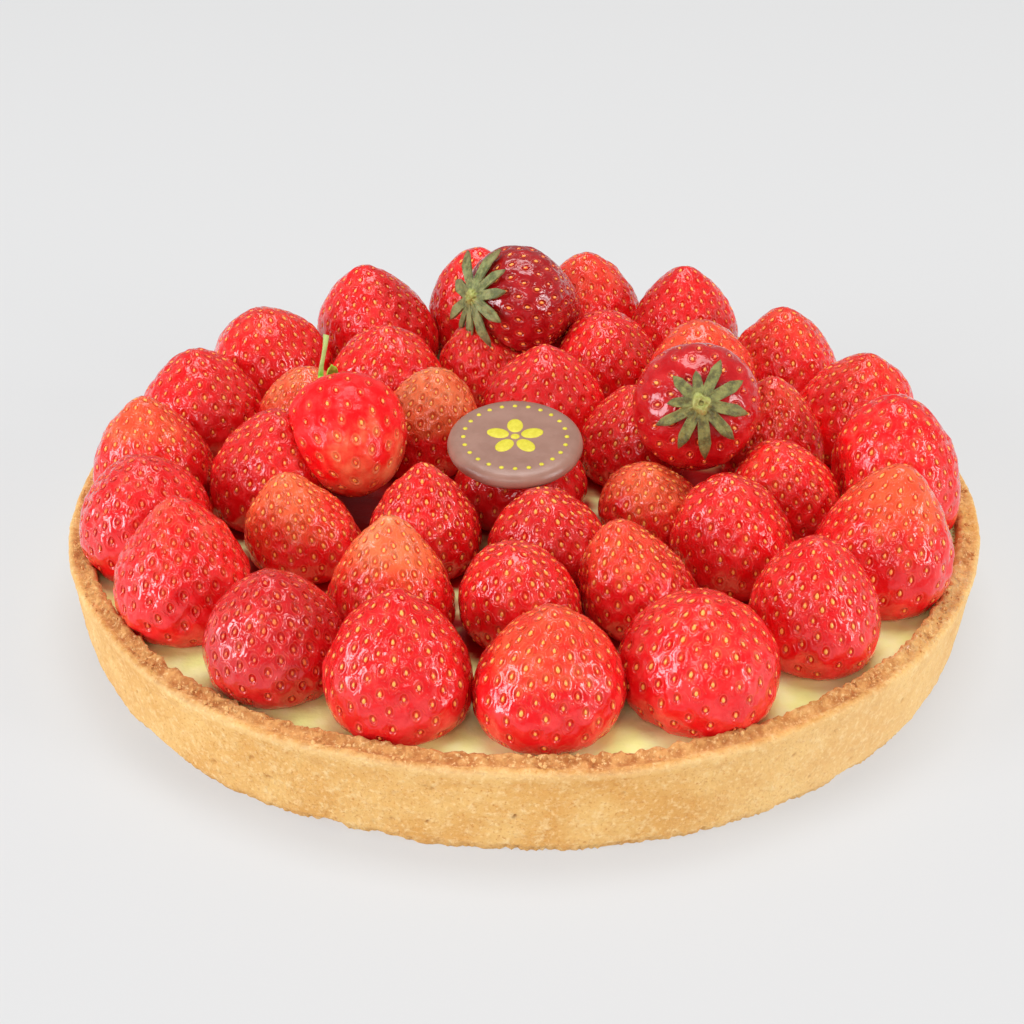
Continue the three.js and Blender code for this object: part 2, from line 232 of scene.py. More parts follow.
class Paint(Wiring):
    """A material with a Principled shader."""

    def __init__(self, name):
        self.material = bpy.data.materials.new(name)
        self.material.use_nodes = True
        super().__init__(self.material.node_tree)
        self.shader = self.tree.nodes["Principled BSDF"]

    def mottled(self, ground, clouds, scale, low=0.35, high=0.65):
        return self.group(MOTTLE, scale=scale, low=low, high=high, ground=ground, clouds=clouds)

    def grained(self, scale, depth, lumps, swell):
        return self.group(GRAIN, scale=scale, depth=depth, lumps=lumps, swell=swell)

    def uneven(self, name, scale, detail, swing):
        """An attribute that noise moves up or down by as much as half the swing."""
        sway = self.maths("MULTIPLY_ADD", self.noise(scale, detail), swing, -swing / 2)
        return self.maths("ADD", self.attribute(name), sway)

    def set(self, base_color, **values):
        self.fill(self.shader.inputs["Base Color"], colour(base_color))
        for key, value in values.items():
            name = key.replace("_", " ")
            self.fill(next(s for s in self.shader.inputs if s.name.lower() == name), value)
        return self.material


def new_group(name, inputs, output, kind):
    """A node group with float or colour inputs, given as (name, default), and one output."""
    tree = bpy.data.node_groups.new(name, "ShaderNodeTree")
    for given, default in inputs:
        sort = "NodeSocketColor" if isinstance(default, tuple) else "NodeSocketFloat"
        socket = tree.interface.new_socket(name=given, in_out="INPUT", socket_type=sort)
        socket.default_value = colour(default)
    tree.interface.new_socket(name=output, in_out="OUTPUT", socket_type=kind)
    wiring = Wiring(tree)
    given = wiring.add("NodeGroupInput").outputs
    result = wiring.add("NodeGroupOutput").inputs[0]
    return tree, wiring, given, result


def mottle_group():
    """Clouds of one colour in another."""
    black = (0, 0, 0)
    inputs = [("Scale", 100.0), ("Low", 0.35), ("High", 0.65), ("Ground", black), ("Clouds", black)]
    tree, wiring, given, result = new_group("mottle", inputs, "Colour", "NodeSocketColor")
    share = wiring.span(wiring.noise(given["Scale"], 4, 0.6), given["Low"], given["High"])
    wiring.fill(result, wiring.blend(share, given["Ground"], given["Clouds"]))
    return tree


def grain_group():
    """Fine grain over broader lumps, as the normal of the surface."""
    inputs = [("Scale", 1500.0), ("Depth", 0.0001), ("Lumps", 300.0), ("Swell", 0.0003)]
    tree, wiring, given, result = new_group("grain", inputs, "Normal", "NodeSocketVector")
    normal = wiring.bump(wiring.noise(given["Lumps"], 3, 0.55), given["Swell"])
    wiring.fill(result, wiring.bump(wiring.noise(given["Scale"], 3, 0.65), given["Depth"], normal))
    return tree


MOTTLE = mottle_group()
GRAIN = grain_group()


# ---------------------------------------------------------------- finishes


def floor_paint():
    paint = Paint("pale floor")
    return paint.set(
        base_color=(136, 136, 136),
        roughness=0.9,
        specular_ior_level=0.1,
        emission_color=(1, 1, 1, 1),
        emission_strength=0.52,
    )


def strawberry_skin():
    """Red flesh under a wet skin. Round each seed it sinks to a small pit, which painted shade
    makes a darker red.
    """
    paint = Paint("strawberry skin")
    aside = paint.add("ShaderNodeVectorMath", operation="MULTIPLY")
    paint.fill(aside.inputs[0], paint.attribute("to_seed", "Vector"))
    aside.inputs[1].default_value = (1.5, 1, 1)
    length = paint.add("ShaderNodeVectorMath", operation="LENGTH")
    paint.fill(length.inputs[0], aside.outputs[0])
    at_least = paint.maths("SUBTRACT", paint.attribute("near"), 0.3)
    away = paint.maths("MAXIMUM", length.outputs["Value"], at_least)

    dark = paint.attribute("dark")
    flesh = paint.blend(dark, (240, 14, 21), (116, 2, 10))
    clouds = paint.blend(dark, (255, 59, 57), (160, 12, 24))
    body = paint.mottled(flesh, clouds, 260, 0.4, 0.75)
    patchy = paint.maths("MULTIPLY_ADD", paint.noise(260, 3), 0.7, -0.4)
    round_seed = paint.maths("MULTIPLY", paint.span(away, 1.1, 2.0, 1, 0), 0.25)
    patchy = paint.maths("ADD", patchy, round_seed)
    blush = paint.maths("ADD", paint.attribute("blush"), patchy)
    body = paint.blend(paint.span(blush, 0.1, 1.1, 0, 0.9), body, (252, 111, 60))
    pale = paint.maths("ADD", paint.attribute("pale"), patchy)
    body = paint.blend(paint.span(pale, 0.1, 1.0), body, (255, 180, 120))
    # ring: painted shade, a darker red in the pit round each seed.
    ring = paint.maths("MULTIPLY", paint.span(away, 0.8, 1.4, 1, 0), 0.5)
    body = paint.blend(ring, body, paint.blend(dark, (222, 10, 10), (104, 2, 6)))
    halo = paint.maths("MULTIPLY", paint.span(away, 1.0, 1.4), paint.span(away, 1.4, 1.9, 0.25, 0))
    body = paint.blend(halo, body, (255, 84, 60))

    pit = paint.bump(paint.span(away, 0.7, 1.4), 0.0001)
    rim = paint.maths("MULTIPLY", paint.span(away, 1.0, 1.45), paint.span(away, 1.45, 2.1, 1, 0))
    rim = paint.bump(rim, 0.00013, pit)
    wrinkle = paint.bump(paint.noise(330, 2), 0.00034, rim)
    normal = paint.bump(paint.noise(1500, 2, 0.6), 0.00005, wrinkle)
    patches = paint.span(paint.noise(130, 3), 0.35, 0.65, 0.1, -0.06)
    rough = paint.maths("ADD", paint.span(paint.attribute("wet"), 0, 1, 0.32, 0.16), patches)
    return paint.set(
        base_color=body,
        roughness=rough,
        specular_ior_level=0.2,
        subsurface_weight=0.15,
        subsurface_radius=(1.0, 0.2, 0.12),
        subsurface_scale=0.002,
        coat_weight=paint.span(paint.attribute("wet"), 0, 1, 0.05, 1),
        coat_roughness=0.09,
        normal=normal,
        coat_normal=normal,
    )


def seed_paint(name, light, dark):
    paint = Paint(name)
    # Golden in the middle and redder to the brim; the paler middle stands partly for a painted
    # highlight.
    tone = paint.span(paint.uneven("brim", 300, 2, 1.6), 0.3, 1.1)
    return paint.set(base_color=paint.blend(tone, light, dark), roughness=0.25)


def crust_paint():
    paint = Paint("baked shortcrust")
    wall = paint.mottled((224, 162, 84), (240, 192, 118), 60, 0.3, 0.7)
    wall = paint.mottled(wall, (248, 212, 152), 420, 0.5, 0.8)
    wall = paint.mottled(wall, (248, 210, 148), 850, 0.5, 0.75)
    wall = paint.mottled(wall, (212, 144, 72), 1400, 0.52, 0.74)
    brown = paint.mottled((184, 110, 54), (222, 158, 92), 420)
    brown = paint.mottled(brown, (248, 204, 144), 1100, 0.52, 0.72)
    # The brown share is baked browning and also a painted shadow under the lip.
    body = paint.blend(paint.span(paint.uneven("baked_and_shade", 260, 3, 0.5), 0.2, 0.9), wall, brown)
    # The pale colour is painted light: on the left and right sides, and a highlight along the outer
    # lip.
    body = paint.blend(paint.attribute("pale"), body, (254, 222, 164))
    # Painted shade darkens the air holes.
    body = paint.blend(paint.attribute("hole"), body, (170, 98, 44))
    glazed = paint.maths("MULTIPLY", paint.attribute("glaze"), paint.noise(330, 3))
    return paint.set(
        base_color=body,
        roughness=paint.span(glazed, 0.42, 0.5, 0.85, 0.18),
        specular_ior_level=0.35,
        subsurface_weight=0.05,
        subsurface_radius=(1.0, 0.6, 0.3),
        subsurface_scale=0.001,
        coat_weight=paint.span(glazed, 0.42, 0.5),
        coat_roughness=0.12,
        normal=paint.grained(1500, 0.00035, 420, 0.0006),
    )


def crumb_paint():
    paint = Paint("pastry crumbs")
    return paint.set(
        base_color=paint.mottled((204, 136, 76), (242, 194, 126), 260),
        roughness=0.8,
        specular_ior_level=0.3,
        normal=paint.grained(1800, 0.0003, 700, 0.0003),
    )


def cream_paint():
    """Pastry cream, soaked with strawberry juice where the strawberries stand close; the dark red
    also stands for painted shade between them and painted shadow under the whole strawberries.
    """
    paint = Paint("pastry cream")
    body = paint.mottled((238, 252, 160), (244, 255, 186), 90)
    return paint.set(
        base_color=paint.blend(paint.attribute("juice_and_shade"), body, (156, 4, 4)),
        roughness=0.4,
        specular_ior_level=0.3,
        normal=paint.grained(900, 0.00004, 220, 0.0005),
    )


def leaf_paint(name, shade, light, crown, withered):
    """A leaf, with the colours of its blade and of its crown, and how brown its tips are."""
    paint = Paint(name)
    out = paint.attribute("out")
    body = paint.mottled(shade, light, 420)
    body = paint.blend(paint.span(paint.noise(1500, 3), 0.5, 0.75, 0, 0.4), body, crown)
    body = paint.blend(paint.span(out, 1.4, 3.0, 1.0, 0.0), body, crown)
    body = paint.blend(paint.span(out, 9, 15, 0, withered), body, (126, 88, 52))
    body = paint.blend(paint.attribute("stem"), body, (184, 198, 116))
    return paint.set(
        base_color=body,
        roughness=0.5,
        specular_ior_level=0.4,
        subsurface_weight=0.05,
        subsurface_scale=0.001,
        normal=paint.grained(1600, 0.0002, 600, 0.0005),
    )


def cut_stalk_paint():
    """Pale green rings round the hollow of a cut stalk, which painted shade darkens."""
    paint = Paint("cut stalk")
    out = paint.uneven("out", 700, 2, 1.4)
    body = paint.mottled((166, 170, 84), (192, 194, 120), 900)
    ring = paint.maths("MULTIPLY", paint.span(out, 0.8, 1.2), paint.span(out, 1.3, 2.2, 0.6, 0))
    body = paint.blend(ring, body, (136, 132, 58))
    # Painted shade darkens the hollow cut end.
    body = paint.blend(paint.span(out, 0.4, 0.8, 1, 0), body, (50, 42, 18))
    body = paint.blend(paint.span(out, 2.2, 3.0, 0, 0.8), body, (132, 134, 70))
    return paint.set(
        base_color=body,
        roughness=0.6,
        specular_ior_level=0.3,
        normal=paint.grained(1600, 0.0002, 900, 0.0004),
    )


def chocolate_paint():
    paint = Paint("milk chocolate")
    return paint.set(
        base_color=paint.mottled((152, 112, 96), (164, 124, 108), 120),
        roughness=0.35,
        normal=paint.grained(1200, 0.00001, 150, 0.0003),
    )


def cocoa_butter_paint():
    paint = Paint("yellow cocoa butter")
    body = paint.mottled((214, 200, 40), (226, 214, 62), 900)
    return paint.set(base_color=body, roughness=0.5)


# ---------------------------------------------------------------- strawberries


class Look:
    """How one strawberry differs from the plain ripe one."""

    def __init__(
        self, blush=0.15, pale=0.0, dark=0.1, wet=0.7, seeds=190, pits=0.65, red_seeds=False
    ):
        self.blush = blush
        self.pale = pale
        self.dark = dark
        self.wet = wet
        self.seeds = seeds
        self.pits = pits
        self.red_seeds = red_seeds


LOOKS = {
    "berry_outer_01": Look(blush=0.35, dark=0.0),
    "berry_outer_02": Look(blush=0.4),
    "berry_outer_04": Look(blush=0.45, dark=0.0),
    "berry_outer_09": Look(blush=0.7, pale=0.1),
    "berry_outer_10": Look(blush=0.0, wet=0.9, red_seeds=True),
    "berry_outer_11": Look(blush=0.3, dark=0.0, wet=0.8, pits=0.9, red_seeds=True),
    "berry_outer_12": Look(blush=0.0, dark=0.32, wet=0.9, pits=0.8, red_seeds=True),
    "berry_outer_13": Look(blush=0.05, dark=0.15),
    "berry_outer_14": Look(blush=0.6),
    "berry_outer_17": Look(blush=0.8),
    "berry_second_01": Look(blush=0.35, dark=0.0),
    "berry_second_02": Look(blush=0.6),
    "berry_second_06": Look(blush=0.75, pale=0.3),
    "berry_second_07": Look(blush=0.1, dark=0.15),
    # Its orange blush is partly its own and partly painted light, lifting it out of the whole left
    # strawberry's shadow.
    "berry_second_08": Look(blush=1.15, pale=0.2, dark=0.0),
    "berry_second_09": Look(blush=1.35, pale=0.45, dark=0.0),
    "berry_second_10": Look(dark=0.05, wet=0.9),
    "berry_second_11": Look(blush=0.5),
    "berry_second_12": Look(blush=0.05, dark=0.12),
    "berry_second_13": Look(blush=0.25, dark=0.0),
    "berry_third_01": Look(blush=0.15, dark=0.05),
    "berry_third_02": Look(blush=0.0, dark=0.05, wet=0.8),
    # Its orange blush is its own and is raised further as painted light against the shade of the
    # whole left strawberry and the disc.
    "berry_third_03": Look(blush=2.2, pale=0.4, dark=0.0),
    "berry_third_04": Look(blush=0.0, wet=0.9),
    "berry_third_05": Look(blush=0.0, dark=0.15, wet=1.0),
    "berry_third_06": Look(blush=0.8, pale=0.2),
    "berry_whole_left": Look(blush=0.4, pale=0.45, dark=0.0, wet=0.2, seeds=120, pits=0.35),
    "berry_whole_back": Look(blush=0.0, dark=0.75, wet=0.8, seeds=170, pits=0.7),
    # Its dark share is partly its own crimson and partly painted shade for its lower side.
    "berry_whole_right": Look(blush=0.0, dark=0.5, wet=0.55, seeds=140, pits=0.45),
}
# The whole strawberries: which way the stalk points, and how many millimetres off the leaves are.
STALKS = {
    "left": (Vector((-0.3, 0.86, 0.41)).normalized(), 17.25),
    "back": (Vector((-0.76, -0.55, 0.35)).normalized(), 21),
    "right": (Vector((-0.03, -0.87, 0.5)).normalized(), 17),
}
OUTSIDE = 60 * MM  # farther from a strawberry's middle than any of its skin
FOOT_SINK = 0.1  # how far the hulled strawberries are pressed into the cream, of half their height
FOOT_HEIGHT = 1.5 * MM
SEEDLESS_HEIGHT = 1.6 * MM  # the hulled strawberries have no seeds below this
SEED_HALF_LENGTH = 0.78 * MM
SEED_SPACING = 4.6 * MM
GOLDEN_TURN = math.pi * (3 - math.sqrt(5))


def is_whole(node):
    return node.startswith("berry_whole")


def fill_box(skin, low, high):
    """Scales a skin along each axis until it is as large as the box it belongs in."""
    for axis in range(3):
        spots = [vert.co[axis] for vert in skin.verts]
        start = min(spots)
        scale = (high[axis] - low[axis]) / (max(spots) - start)
        for vert in skin.verts:
            vert.co[axis] = low[axis] + (vert.co[axis] - start) * scale


def ease_in_place(skin):
    """Eases the corners away, then gives back the size that the easing took."""
    before = [vert.co.copy() for vert in skin.verts]
    ease(skin, 9)
    loss = [old - vert.co for old, vert in zip(before, skin.verts)]
    beside = [[edge.other_vert(vert).index for edge in vert.link_edges] for vert in skin.verts]
    for _ in range(7):
        loss = [sum((loss[i] for i in ring), Vector()) / len(ring) for ring in beside]
    for vert, back in zip(skin.verts, loss):
        vert.co += back


def raise_lumps(skin, height):
    skin.normal_update()
    shift = Vector((rng.uniform(0, 9), 0, 0))
    for vert in skin.verts:
        lump = 0.5 * noise.noise(vert.co / (7 * MM) + shift)
        lump += 0.25 * noise.noise(vert.co / (2.8 * MM) + shift)
        vert.co += vert.normal * (lump * height)
    skin.normal_update()


def draw_skin(node):
    """A round skin over a CAD node, with the flats and corners eased away but not the size."""
    rough = merged_copy(node)
    tree = BVHTree.FromBMesh(rough)
    rough.free()
    low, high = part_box(node)
    middle = (low + high) / 2
    skin = bmesh.new()
    around = Matrix.Translation(middle)
    bmesh.ops.create_icosphere(skin, subdivisions=5, radius=OUTSIDE, matrix=around)
    for vert in skin.verts:
        vert.co = tree.ray_cast(vert.co, middle - vert.co)[0]
    ease_in_place(skin)
    bmesh.ops.subdivide_edges(skin, edges=skin.edges, cuts=1, use_grid_fill=True, smooth=0.6)
    ease(skin, 2)
    fill_box(skin, low, high)
    if not is_whole(node):
        for vert in skin.verts:
            vert.co.z += FOOT_SINK * min(0, vert.co.z - middle.z)
    raise_lumps(skin, MM * (0.5 if is_whole(node) else 1))
    return skin, middle


def berry_axis(node, skin):
    """The way a strawberry's tip points."""
    if is_whole(node):
        return -STALKS[node.split("_")[-1]][0]
    low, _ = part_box(node)
    foot = [vert.co for vert in skin.verts if vert.co.z < low.z + FOOT_HEIGHT]
    foot = sum(foot, Vector()) / len(foot)
    tip = max((vert.co for vert in skin.verts), key=lambda co: co.z)
    return (tip - foot).normalized()


def seed_sites(skin, middle, axis, count, floor):
    """Places for the seeds, on the spiral that they grow in: (point, across, along, outward)."""
    tree = BVHTree.FromBMesh(skin)
    turn = axis.to_track_quat("Z", "X")
    start = rng.uniform(0, 6)
    sites = []
    for i in range(count):
        up = 1 - 2 * ((i + 0.5) / count) ** 1.03
        angle = start + i * GOLDEN_TURN + rng.uniform(-0.08, 0.08)
        flat = math.sqrt(1 - up * up)
        way = turn @ Vector((flat * math.cos(angle), flat * math.sin(angle), up))
        sites.append(tree.ray_cast(middle + way * OUTSIDE, -way)[0])
    for _ in range(5):
        sites = spread_out(sites, tree)
    placed = []
    for site in sites:
        point, outward, _, _ = tree.find_nearest(site)
        if point.z > floor:
            along = (axis - outward * axis.dot(outward)).normalized()
            placed.append((point, along.cross(outward), along, outward))
    return placed


def finder(points):
    """A tree that finds the nearest of the points."""
    near = KDTree(len(points))
    for i, point in enumerate(points):
        near.insert(point, i)
    near.balance()
    return near


def spread_out(sites, tree):
    """Pushes each seed a little away from the nearest others, along the skin."""
    near = finder(sites)
    moved = []
    for site in sites:
        push = Vector()
        for other, _, away in near.find_n(site, 5)[1:]:
            push += (site - other) * (max(0, SEED_SPACING - away) / max(away, 0.1 * MM))
        moved.append(tree.find_nearest(site + push * 0.3)[0])
    return moved


def press_pits(skin, sites, depth):
    """Sinks a dimple round each seed, and notes how each point lies to its nearest seed."""
    near = finder([point for point, _, _, _ in sites])
    to_seed = skin.verts.layers.float_vector.new("to_seed")
    distance = skin.verts.layers.float.new("near")
    moves = []
    for vert in skin.verts:
        point, i, away = near.find(vert.co)
        _, across, along, _ = sites[i]
        offset = (vert.co - point) / MM
        vert[to_seed] = (offset.dot(across), offset.dot(along), 0)
        vert[distance] = away / MM
        sink = 0.4 * bell(away / MM, 1.0) + 0.6 * bell(away / MM, 1.9)
        moves.append(vert.normal * (-depth * sink))
    for vert, move in zip(skin.verts, moves):
        vert.co += move


def draw_seed():
    """One seed, a teardrop 2 long with its point along +Y, in the second material."""
    bm = bmesh.new()
    brim = bm.verts.layers.float.new("brim")
    bmesh.ops.create_uvsphere(bm, u_segments=7, v_segments=5, radius=1)
    for vert in bm.verts:
        vert[brim] = math.hypot(vert.co.x, vert.co.y)
        vert.co.x *= 0.62 * (1 - 0.3 * max(0, vert.co.y))
        vert.co.z *= 0.42
    for face in bm.faces:
        face.material_index = 1
    seed = bpy.data.meshes.new("seed")
    bm.to_mesh(seed)
    bm.free()
    return seed


def sow_seeds(skin, sites, depth, seed):
    """Sets a copy of the seed at each site."""
    for point, across, along, outward in sites:
        seat = point - outward * (depth * 0.85)
        turn = Matrix((across, along, outward)).transposed().to_4x4()
        size = Matrix.Scale(SEED_HALF_LENGTH * rng.uniform(0.85, 1.15), 4)
        place = Matrix.Translation(seat) @ turn @ size
        seed.transform(place)
        skin.from_mesh(seed)
        seed.transform(place.inverted())


def tint_skin(skin, middle, axis, look):
    """Notes how pale the skin is, which grows towards the tip, how dark and how wet."""
    rises = [axis.dot(vert.co - middle) for vert in skin.verts]
    low, high = min(rises), max(rises)
    shift = Vector((rng.uniform(0, 9), 0, 0))
    layers = new_layers(skin, "blush", "pale", "dark", "wet")
    for vert, rise in zip(skin.verts, rises):
        share = (rise - low) / (high - low) + 0.22 * noise.noise(vert.co / (9 * MM) + shift)
        vert[layers["blush"]] = look.blush * smoothstep(share, 0.35, 0.95)
        vert[layers["pale"]] = look.pale * smoothstep(share, 0.55, 1.0)
        vert[layers["dark"]] = look.dark
        vert[layers["wet"]] = look.wet


def make_berry(node, skin_paint, seed_paints, seed):
    look = LOOKS.get(node) or Look(blush=rng.uniform(0, 0.3), dark=rng.uniform(0, 0.1))
    skin, middle = draw_skin(node)
    axis = berry_axis(node, skin)
    tint_skin(skin, middle, axis, look)
    floor = -1 if is_whole(node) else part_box(node)[0].z + SEEDLESS_HEIGHT
    sites = seed_sites(skin, middle, axis, look.seeds, floor)
    press_pits(skin, sites, look.pits * MM)
    sow_seeds(skin, sites, look.pits * MM, seed)
    paints = [skin_paint, seed_paints[look.red_seeds]]
    put_on(finish_piece(skin, node + "_fruit", paints), "strawberry", node)


# ---------------------------------------------------------------- case and cream

# Bare numbers from here on are millimetres or radians, unless a comment says otherwise.
RIM_RADIUS, BASE_RADIUS, INNER_RADIUS = 120.5, 117.5, 114.5
RIM_HEIGHT, CREST_HEIGHT, CREAM_TOP = 24.5, 26, 21.5
FULL_TURN = 2 * math.pi
FLAT_RADIUS = 105  # the bottom of the case is left flat inside this
WEDGES = 24
SECTORS = 120
HOLES = 120
CRUMBS = 3000
GLAZE_ANGLE = math.radians(-30)
# Where the bottom edge is chipped: the angle and half the width in degrees, and the height.
CHIPS = [(36, 9, 1.2), (98, 12, 0.9), (160, 8, 1.3), (223, 6, 1.8), (247.5, 11, 1.3), (320, 9, 0.8)]
CRUST_CORNERS = [
    (0, 0),
    (BASE_RADIUS - 4, 0),
    (BASE_RADIUS - 0.8, 0),
    (BASE_RADIUS, 1),
    (BASE_RADIUS + 1.5, 11),
    (RIM_RADIUS - 0.8, RIM_HEIGHT - 5),
    (RIM_RADIUS - 0.4, RIM_HEIGHT - 2.6),
    (RIM_RADIUS - 0.1, RIM_HEIGHT - 1.6),
    (RIM_RADIUS - 0.2, RIM_HEIGHT - 0.7),
    (RIM_RADIUS - 0.8, RIM_HEIGHT - 0.1),
    (RIM_RADIUS - 1.5, RIM_HEIGHT + 0.1),
    (RIM_RADIUS - 2.3, RIM_HEIGHT - 0.2),
    (INNER_RADIUS + 2.9, RIM_HEIGHT + 0.2),
    (INNER_RADIUS + 1.6, CREST_HEIGHT - 0.2),
    (INNER_RADIUS + 0.8, CREST_HEIGHT - 0.2),
    (INNER_RADIUS + 0.2, CREST_HEIGHT - 0.7),
    (INNER_RADIUS - 0.2, CREAM_TOP + 1.5),
    (INNER_RADIUS - 1.2, CREAM_TOP - 4),
    (INNER_RADIUS - 3, 7),
    (INNER_RADIUS - 5, 5),
    (0, 5),
]
CREAM_CORNERS = [
    (0, 5.3),
    (INNER_RADIUS - 5, 5.3),
    (INNER_RADIUS - 1.5, CREAM_TOP - 3),
    (INNER_RADIUS - 0.1, CREAM_TOP + 0.6),
    (INNER_RADIUS - 1.6, CREAM_TOP + 0.1),
    (INNER_RADIUS - 3, CREAM_TOP),
    (50, CREAM_TOP),
    (0, CREAM_TOP),
]


def press_by_hand(radius, height, angle):
    """The slow waves of a case pressed into its ring by hand."""
    share = (radius / RIM_RADIUS) ** 4
    wave = 0.5 * math.cos(angle) + 0.35 * math.sin(5 * angle + 0.6)
    wave += 0.2 * math.sin(9 * angle + 2.1)
    dip = 0.3 * math.sin(7 * angle + 1.1) + 0.25 * math.sin(19 * angle)
    rim = smoothstep(height, CREAM_TOP, RIM_HEIGHT)
    return radius * (1 + wave * share / RIM_RADIUS), height + dip * rim


def outline_points(corners, step):
    """Points along the line through the corners, about as far apart as step(start, end) says."""
    points = [corners[0]]
    for start, end in zip(corners, corners[1:]):
        pieces = max(1, round(math.dist(start, end) / step(start, end)))
        for i in range(1, pieces + 1):
            points.append(tuple(a + (b - a) * i / pieces for a, b in zip(start, end)))
    return points


def spin_outline(points, steps):
    """Turns a line of (radius, height) points a full turn, as wedges of equal steps."""
    bm = bmesh.new()
    verts = [bm.verts.new((radius, 0, height)) for radius, height in points]
    edges = [bm.edges.new(pair) for pair in zip(verts, verts[1:])]
    about = dict(axis=(0, 0, 1), cent=(0, 0, 0))
    wedge = FULL_TURN / WEDGES
    bmesh.ops.spin(bm, geom=verts + edges, angle=wedge, steps=steps // WEDGES, **about)
    drawn = list(bm.verts) + list(bm.edges) + list(bm.faces)
    rest = FULL_TURN - wedge
    bmesh.ops.spin(bm, geom=drawn, angle=rest, steps=WEDGES - 1, use_duplicate=True, **about)
    bmesh.ops.remove_doubles(bm, verts=bm.verts, dist=1e-3)
    bmesh.ops.recalc_face_normals(bm, faces=bm.faces)
    return bm


def set_on_ground(bm):
    """Brings a piece from millimetres round the middle to its place in metres."""
    place = Matrix.Translation(CENTRE) @ Matrix.Scale(MM, 4)
    bmesh.ops.transform(bm, matrix=place, verts=bm.verts)


def turn_apart(angle, other):
    return (angle - other + math.pi) % FULL_TURN - math.pi


def sector_of(angle):
    return int((angle % FULL_TURN) / FULL_TURN * SECTORS)


def draw_holes():
    """Air holes in the wall, as (angle, height, size, stretch), by each sector they may reach."""
    holes = {}
    for _ in range(HOLES):
        angle, height = rng.uniform(0, FULL_TURN), rng.uniform(1, 19)
        hole = (angle, height, rng.uniform(0.3, 0.7), rng.uniform(0.7, 1.6))
        for beside in (-1, 0, 1):
            holes.setdefault((sector_of(angle) + beside) % SECTORS, []).append(hole)
    return holes


def broken_edge(angle, x, y):
    """How much of the bottom edge is broken away."""
    lost = 2.6 * max(0, rough_noise(x, y, 0, 8, 7)) + 1.3 * abs(rough_noise(x, y, 0, 3, 2))
    lost += 1.5 * abs(rough_noise(x, y, 0, 1.2, 6))
    for where, width, height in CHIPS:
        aside = abs(turn_apart(angle, math.radians(where))) / math.radians(width)
        lost += 0.7 * height * max(0, 1 - aside) ** 0.5
    return lost


def crust_tones(radius, z, angle, slope, wall):
    """How browned, pale and glazed a point of the case is. The darker share also holds a painted
    shadow under the lip and is darker towards the bottom; the pale share is painted light on the
    left and right sides and a painted highlight along the outer lip.
    """
    x, y = RIM_RADIUS * math.cos(angle), RIM_RADIUS * math.sin(angle)
    # side: how far round to the right or left a point is; there painted light makes the wall paler
    # and the crest less brown.
    side = smoothstep(math.cos(angle), 0.2, 0.7) + 0.6 * smoothstep(-math.cos(angle), 0.6, 1)
    top = smoothstep(z, RIM_HEIGHT - 1.4, RIM_HEIGHT - 0.6)
    top *= smoothstep(radius, INNER_RADIUS - 1, INNER_RADIUS)
    across = radius + 1.1 * rough_noise(x, y, 0, 4, 12)
    band = smoothstep(across, INNER_RADIUS, INNER_RADIUS + 1.6)
    band *= 1 - smoothstep(across, RIM_RADIUS - 2.8, RIM_RADIUS - 1.3)
    patchy = 0.9 - 0.25 * side + 0.5 * rough_noise(x, y, 0, 22, 6)
    # A painted shadow under the lip: a darker band on the wall.
    shadow_under_lip = 0.35 * bell(z - RIM_HEIGHT + 4, 2)
    # Darker towards the bottom of the case.
    foot = 0.3 * (1 - smoothstep(z, 1, 9))
    # A painted highlight along the outer lip, as a thin pale line.
    lip_highlight = 0.55 * wall * bell(z - RIM_HEIGHT + 1.1, 0.5)
    from_glaze = abs(turn_apart(angle, GLAZE_ANGLE))
    return {
        "baked_and_shade": max(patchy * top * (0.55 + 0.45 * band), wall * shadow_under_lip, foot),
        "pale": max(lip_highlight, 0.32 * side * wall * (1 - top)),
        "glaze": slope * (1 - smoothstep(from_glaze, 0.1, 0.45)),
    }


